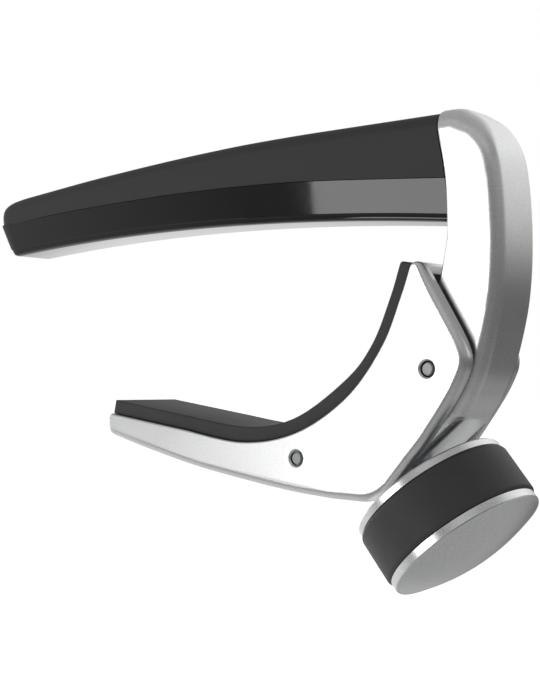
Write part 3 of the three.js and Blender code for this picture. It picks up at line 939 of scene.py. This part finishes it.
def make_jaw():
    """A channel: two side plates, the web that carries the pad, and the two pins' holes."""
    outline, fillets = jaw_outline()
    inner_half = JAW_HALF - JAW_WALL
    obj = new_object("jaw_channel", slab_mesh(outline, JAW_HALF, fillets, 10))
    boolean(obj, slab_mesh(channel_outline(), inner_half))
    # The seat is a hair narrower than the channel, so that no two cut faces coincide.
    boolean(obj, slab_mesh(wear_plate_seat(), inner_half - 0.001))
    boolean(obj, pin_hole(PIVOT))
    boolean(obj, pin_hole(SPRING_PIN))
    merge_flat_faces(obj)
    return finish_piece(obj, ALLOY, "swing_jaw", "jaw")


NECK_PAD_GAP = 0.03
NECK_PAD_FILLET = 0.22
NECK_PAD_NOSE = (32.9, -6.35)
NECK_PAD_CORNER = (31.34, -6.05)
NECK_PAD_CORNER_ROUND = 0.4


def make_neck_pad():
    """The rubber lining on the jaw's seat, which ends in a rounded nose."""
    outline = offset_left(JAW_SEAT, NECK_PAD_GAP) + [NECK_PAD_NOSE]
    outline += round_corner(NECK_PAD_NOSE, NECK_PAD_CORNER, PAD_FACE[-1], NECK_PAD_CORNER_ROUND, 7)
    outline += PAD_FACE[::-1]
    obj = new_object("neck_pad_rubber", slab_mesh(outline, NECK_HALF, NECK_PAD_FILLET, 4), 35)
    return finish_piece(obj, PAD_RUBBER, "swing_jaw", "neck_pad")


# ---------------------------------------------------------------- pins and spring

PIN_RADIUS = 0.72
PIN_RECESS = 0.1
PIN_HALF = JAW_HALF - PIN_RECESS
PIN_CHAMFER = 0.15
ANCHOR_PIN_RADIUS = 0.5
ANCHOR_PIN_RECESS = 0.2
ANCHOR_PIN_HALF = FRAME_HALF - ANCHOR_PIN_RECESS
SPRING_WIRE = 0.2
SPRING_RADIUS = 1.15
SPRING_LEAD = 2.0
SPRING_TURNS = 7
STEPS_PER_TURN = 20
ANCHOR_HOOK = 0.897
PIN_HOOK = 1.053
HOOK_SWEEP = 240
HOOK_STEPS = 8


def make_pin(name, place, radius, half, body, node):
    """A plain round pin across the capo, with chamfered ends."""
    profile = [
        (0, -half), (radius - PIN_CHAMFER, -half), (radius, -half + PIN_CHAMFER),
        (radius, half - PIN_CHAMFER), (radius - PIN_CHAMFER, half), (0, half),
    ]
    obj = new_object(name, across_capo(turned_mesh(profile, 48), place), 30)
    return finish_piece(obj, PIN_STEEL, body, node)


def make_pins():
    swing = "swing_jaw"
    make_pin("pivot_pin_turned", PIVOT, PIN_RADIUS, PIN_HALF, swing, "pivot_pin")
    make_pin("spring_pin_turned", SPRING_PIN, PIN_RADIUS, PIN_HALF, swing, "spring_pin")
    make_pin("anchor_pin_turned", SPRING_ANCHOR, ANCHOR_PIN_RADIUS, ANCHOR_PIN_HALF,
             "frame_and_arm", "spring_anchor_pin")


def spring_path(start, end):
    """The middle of the spring's wire: a hook round the anchor pin, the coil, and a hook
    round the jaw's pin."""
    along = (end - start).normalized()
    across = Vector((-along.z, 0, along.x))
    coil_length = (end - start).length - 2 * SPRING_LEAD
    path = []
    for i in range(HOOK_STEPS + 1):
        a = math.radians(-150 + HOOK_SWEEP * i / HOOK_STEPS)
        path.append(start + ANCHOR_HOOK * (math.cos(a) * along + math.sin(a) * across))
    for i in range(SPRING_TURNS * STEPS_PER_TURN + 1):
        turns = i / STEPS_PER_TURN
        a = 2 * math.pi * turns + math.pi / 2
        middle = start + (SPRING_LEAD + coil_length * turns / SPRING_TURNS) * along
        path.append(middle + SPRING_RADIUS * (math.sin(a) * across + math.cos(a) * WIDTH_DIR))
    for i in range(HOOK_STEPS + 1):
        a = math.radians(90 - HOOK_SWEEP * i / HOOK_STEPS)
        path.append(end + PIN_HOOK * (math.cos(a) * -along + math.sin(a) * across))
    return path


def wire_object(name, path, radius):
    """A round wire along a path in millimetres."""
    curve = bpy.data.curves.new(name, "CURVE")
    curve.dimensions = "3D"
    curve.bevel_depth = radius * MM
    curve.bevel_resolution = 3
    curve.use_fill_caps = True
    spline = curve.splines.new("POLY")
    spline.points.add(len(path) - 1)
    for point, p in zip(spline.points, path):
        point.co = (*(p * MM), 1)
    holder = link(bpy.data.objects.new(name + "_path", curve))
    bpy.context.view_layer.update()
    graph = bpy.context.evaluated_depsgraph_get()
    mesh = bpy.data.meshes.new_from_object(holder.evaluated_get(graph))
    bpy.data.objects.remove(holder)
    obj = link(bpy.data.objects.new(name, mesh))
    shade(obj, 60)
    return obj


def make_return_spring():
    """A wound extension spring with a hook round each pin."""
    start = Vector((SPRING_ANCHOR.x, 0, SPRING_ANCHOR.z))
    end = Vector((SPRING_PIN.x, 0, SPRING_PIN.z))
    obj = wire_object("return_spring_coil", spring_path(start, end), SPRING_WIRE)
    obj.data.materials.clear()
    obj.data.materials.append(STEEL)
    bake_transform(obj)
    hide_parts("return_spring")
    return obj


# ---------------------------------------------------------------- screw

SCREW_CORE = 1.95
SCREW_CREST = 2.4
SCREW_PITCH = 0.8
THREAD_START = -6.7
THREAD_END = 0.9
THREAD_FADE = 0.5
THREAD_SEGMENTS = 48
ROWS_PER_PITCH = 10
NOSE_TIP = -8.5
NOSE_TIP_RADIUS = 0.8
NOSE_RADIUS = 1.0
SPIGOT_RADIUS = 1.6
SPIGOT_END = 3.3
STEP_HEIGHT = 0.2


def thread_radius(z, share):
    """The thread's radius at a height and a share of a turn: blunt teeth round a core, which
    fade out at both ends."""
    phase = (z / SCREW_PITCH - share) % 1.0
    tooth = min(1.0, max(0.0, 1.25 - abs(2 * phase - 1) * 1.5))
    fade = min(1.0, (z - THREAD_START) / THREAD_FADE, (THREAD_END - z) / THREAD_FADE)
    return SCREW_CORE + (SCREW_CREST - SCREW_CORE) * tooth * max(fade, 0)


def make_spindle():
    """The screw: a cut thread, a turned tip for the nose cap and a spigot for the hub."""
    bm = bmesh.new()
    rings = [[bm.verts.new((0, 0, NOSE_TIP))]]
    nose = [
        (NOSE_TIP_RADIUS, NOSE_TIP), (NOSE_RADIUS, NOSE_TIP + STEP_HEIGHT),
        (NOSE_RADIUS, THREAD_START - STEP_HEIGHT),
    ]
    for radius, z in nose:
        rings.append(round_ring(bm, THREAD_SEGMENTS, z, lambda share: radius))
    rows = round((THREAD_END - THREAD_START) / SCREW_PITCH * ROWS_PER_PITCH)
    for k in range(rows + 1):
        z = THREAD_START + (THREAD_END - THREAD_START) * k / rows
        rings.append(round_ring(bm, THREAD_SEGMENTS, z, lambda share: thread_radius(z, share)))
    for z in (THREAD_END + 0.1, SPIGOT_END):
        rings.append(round_ring(bm, THREAD_SEGMENTS, z, lambda share: SPIGOT_RADIUS))
    rings.append([bm.verts.new((0, 0, SPIGOT_END))])
    join_rings(bm, rings)
    obj = new_object("screw_thread", on_screw(bm))
    return finish_piece(obj, STEEL, "screw_and_knob", "screw_spindle")


# ---------------------------------------------------------------- knob

KNOB_SEGMENTS = 160
RING_RADIUS = 9.0
RING_BORE = 2.7
RING_START = -0.1
RING_END = 0.86
RING_CHAMFER = 0.2
EDGE_BREAK = 0.08
GRIP_RADIUS = 9.24
GRIP_EDGE_RADIUS = RING_RADIUS - 0.25
GRIP_BORE = 6.7
GRIP_GAP = 0.03
GRIP_ROUND = 0.42
GRIP_TOP = 6.6
CAP_EDGE = 7.65
CAP_SIDE_END = CAP_EDGE - 0.15
CAP_BEVEL = (RING_RADIUS - 0.06, CAP_EDGE - 0.04)
CAP_CROWN_RADIUS = RING_RADIUS - 0.22
DOME_TOP = 9.3
CROWN_STEPS = 24


def make_inner_ring():
    """The metal ring nearest the leg."""
    profile = [
        (RING_BORE, RING_START), (RING_RADIUS - RING_CHAMFER, RING_START),
        (RING_RADIUS, RING_START + RING_CHAMFER), (RING_RADIUS, RING_END - EDGE_BREAK),
        (RING_RADIUS - EDGE_BREAK, RING_END), (RING_BORE, RING_END),
    ]
    obj = new_object("knob_ring", on_screw(turned_mesh(profile, KNOB_SEGMENTS, closed=True)), 30)
    return finish_piece(obj, TURNED, "screw_and_knob", "knob_inner_ring")


def make_grip():
    """The rubber ring between the two metal ones, standing slightly proud of them."""
    bottom, top = RING_END + GRIP_GAP, GRIP_TOP - GRIP_GAP
    foot, head = (GRIP_EDGE_RADIUS, bottom), (GRIP_EDGE_RADIUS, top)
    low_corner, high_corner = (GRIP_RADIUS, bottom), (GRIP_RADIUS, top)
    profile = [(GRIP_BORE, bottom), foot]
    profile += round_corner(foot, low_corner, high_corner, GRIP_ROUND, 8)
    profile += round_corner(low_corner, high_corner, head, GRIP_ROUND, 8)
    profile += [head, (GRIP_BORE, top)]
    mesh = on_screw(turned_mesh(profile, KNOB_SEGMENTS, closed=True))
    obj = new_object("knob_grip_rubber", mesh, 35)
    return finish_piece(obj, GRIP_RUBBER, "screw_and_knob", "knob_grip")


def make_end_cap():
    """The knob's metal end, with a slightly domed face."""
    profile = [
        (0, GRIP_TOP), (RING_RADIUS - EDGE_BREAK, GRIP_TOP), (RING_RADIUS, GRIP_TOP + EDGE_BREAK),
        (RING_RADIUS, CAP_SIDE_END), CAP_BEVEL,
    ]
    for i in range(CROWN_STEPS + 1):
        share = 1 - i / CROWN_STEPS
        height = CAP_EDGE + (DOME_TOP - CAP_EDGE) * (1 - share**2)
        profile.append((CAP_CROWN_RADIUS * share, height))
    obj = new_object("knob_cap", on_screw(turned_mesh(profile, KNOB_SEGMENTS)), 25)
    return finish_piece(obj, TURNED, "screw_and_knob", "knob_end_cap")


# ---------------------------------------------------------------- pieces kept from the CAD

KEPT = {
    "wear_plate": STEEL,
    "pivot_bush_near": NYLON,
    "pivot_bush_far": NYLON,
    "screw_bush": BRASS,
    "screw_nose_cap": NYLON,
    "knob_hub": NYLON,
    "knob_hub_screw": STEEL,
}


def dress_kept_nodes():
    """Gives the inner pieces that keep their CAD shape a material."""
    for name, material in KEPT.items():
        node = frame["nodes"][name]
        node.data.materials.clear()
        node.data.materials.append(material)
        node.data.set_sharp_from_angle(angle=math.radians(30))


# ---------------------------------------------------------------- camera and floor

CAMERA_PLACE = Vector((108.6, -120.67, -19.34))
CAMERA_AZIMUTH = math.radians(39.58)
CAMERA_TILT = math.radians(1.586)
CAMERA_LENS = 67.03
FLOOR_Z = -95
FLOOR_HALF = 6000


def make_camera():
    """A camera with its place in millimetres, turned from the Y axis and tilted up."""
    data = bpy.data.cameras.new("camera")
    data.sensor_fit = "AUTO"
    data.sensor_width = 36
    data.lens = CAMERA_LENS
    data.clip_start = 0.005
    data.clip_end = 50
    camera = link(bpy.data.objects.new("camera", data))
    look = Vector((
        -math.sin(CAMERA_AZIMUTH) * math.cos(CAMERA_TILT),
        math.cos(CAMERA_AZIMUTH) * math.cos(CAMERA_TILT),
        math.sin(CAMERA_TILT),
    ))
    camera.location = CAMERA_PLACE * MM
    camera.rotation_euler = look.to_track_quat("-Z", "Y").to_euler()
    bpy.context.scene.camera = camera


def make_floor():
    """A plain pale floor well below the capo."""
    bm = bmesh.new()
    bmesh.ops.create_grid(bm, x_segments=1, y_segments=1, size=FLOOR_HALF)
    bmesh.ops.translate(bm, verts=bm.verts, vec=(0, 0, FLOOR_Z))
    floor = new_object("floor", bm)
    material, _, shader = node_material("pale_floor")
    shader.inputs["Base Color"].default_value = (0.95, 0.95, 0.95, 1)
    shader.inputs["Roughness"].default_value = 0.9
    shader.inputs["Emission Color"].default_value = (1, 1, 1, 1)
    shader.inputs["Emission Strength"].default_value = 0.55
    floor.data.materials.append(material)
    floor.visible_glossy = False


# ---------------------------------------------------------------- light

# The surround's level on each side, by elevation in degrees from straight down to straight up.
FRONT_LEVELS = [
    (-90, 0.38), (-45, 0.42), (-15, 0.20), (0, 0.18), (18, 0.27), (36, 0.58), (60, 0.38), (90, 0.42),
]
LEFT_LEVELS = [
    (-90, 0.35), (-70, 0.55), (-45, 0.70), (-18, 0.80), (-10, 1.35), (8, 1.25), (35, 0.42), (90, 0.42),
]
BACK_LEVELS = [
    (-90, 0.35), (-30, 0.38), (-22, 0.30), (-17, 0.13), (2, 0.13), (8, 0.70), (30, 1.10), (90, 0.45),
]
RIGHT_LEVELS = [
    (-90, 0.35), (-45, 0.34), (-19, 0.14), (-4, 0.17), (8, 0.26), (20, 0.42), (36, 0.30), (90, 0.45),
]

# The sides that differ from the front: where each lies, its levels, and how nearly a
# direction points there where its light starts and where it is full.
SIDES = [
    ((-0.94, 0.34, 0), LEFT_LEVELS, 0.35, 0.85),
    ((0.50, 0.87, 0), BACK_LEVELS, 0.25, 0.75),
    ((1, -0.10, 0), RIGHT_LEVELS, 0.72, 0.94),
]


def level_ramp(tree, height, levels):
    """Brightness by height, from pairs of elevation in degrees and level."""
    ramp = add(tree, "ShaderNodeValToRGB")
    tree.links.new(height, ramp.inputs["Fac"])
    elements = ramp.color_ramp.elements
    while len(elements) < len(levels):
        elements.new(0.5)
    for element, (elevation, level) in zip(elements, levels):
        element.position = (math.sin(math.radians(elevation)) + 1) / 2
        element.color = (level, level, level, 1)
    return ramp.outputs["Color"]


def facing(tree, direction, towards):
    """How nearly a direction points along a compass direction: 1 along it, -1 away."""
    flat = add(tree, "ShaderNodeVectorMath", operation="MULTIPLY")
    tree.links.new(direction, flat.inputs[0])
    flat.inputs[1].default_value = (1, 1, 0)
    unit = add(tree, "ShaderNodeVectorMath", operation="NORMALIZE")
    tree.links.new(flat.outputs["Vector"], unit.inputs[0])
    dot = add(tree, "ShaderNodeVectorMath", operation="DOT_PRODUCT")
    tree.links.new(unit.outputs["Vector"], dot.inputs[0])
    dot.inputs[1].default_value = towards
    return dot.outputs["Value"]


def make_world():
    """A white surround for the camera. The light that it sends is uneven: a bright low left,
    a darker front and right, and behind on the right a bright sky above a dark band."""
    world = bpy.data.worlds.new("studio")
    bpy.context.scene.world = world
    world.use_nodes = True
    tree = world.node_tree
    direction = add(tree, "ShaderNodeTexCoord").outputs["Generated"]
    axes = add(tree, "ShaderNodeSeparateXYZ")
    tree.links.new(direction, axes.inputs["Vector"])
    height = remap(tree, axes.outputs["Z"], -1, 1, 0, 1)
    light = level_ramp(tree, height, FRONT_LEVELS)
    for towards, levels, starts, full in SIDES:
        share = remap(tree, facing(tree, direction, towards), starts, full, 0, 1)
        light = mix_colours(tree, share, light, level_ramp(tree, height, levels))
    path = add(tree, "ShaderNodeLightPath")
    seen = mix_colours(tree, path.outputs["Is Camera Ray"], light, (1, 1, 1))
    background = tree.nodes["Background"]
    background.inputs["Strength"].default_value = 1.0
    tree.links.new(seen, background.inputs["Color"])


# The softbox's sizes and places are in metres.
SOFTBOX_DIR = (-0.407, -0.9135, -0.017)
SOFTBOX_DISTANCE = 2.0
SOFTBOX_WIDTH = 0.99
SOFTBOX_HEIGHT = 0.92
SOFTBOX_POWER = 9.1
LIT_PLACE = (0.01, 0, -0.01)


def make_softbox():
    """A broad soft light in front of the capo, to the left, that faces it squarely."""
    data = bpy.data.lights.new("front_box", "AREA")
    data.shape = "RECTANGLE"
    data.size = SOFTBOX_WIDTH
    data.size_y = SOFTBOX_HEIGHT
    data.energy = SOFTBOX_POWER
    light = link(bpy.data.objects.new("front_box", data))
    direction = Vector(SOFTBOX_DIR).normalized()
    light.location = Vector(LIT_PLACE) + direction * SOFTBOX_DISTANCE
    light.rotation_euler = (-direction).to_track_quat("-Z", "Y").to_euler()


def set_view():
    """Plain display of colours, with no film look."""
    view = bpy.context.scene.view_settings
    view.view_transform = "Standard"
    view.look = "None"
    view.exposure = 0
    view.gamma = 1


# ---------------------------------------------------------------- assembly

make_camera()
make_floor()
make_world()
make_softbox()
set_view()
make_frame()
make_arm_cover()
make_string_pad()
make_jaw()
make_neck_pad()
make_pins()
make_return_spring()
make_spindle()
make_inner_ring()
make_grip()
make_end_cap()
dress_kept_nodes()
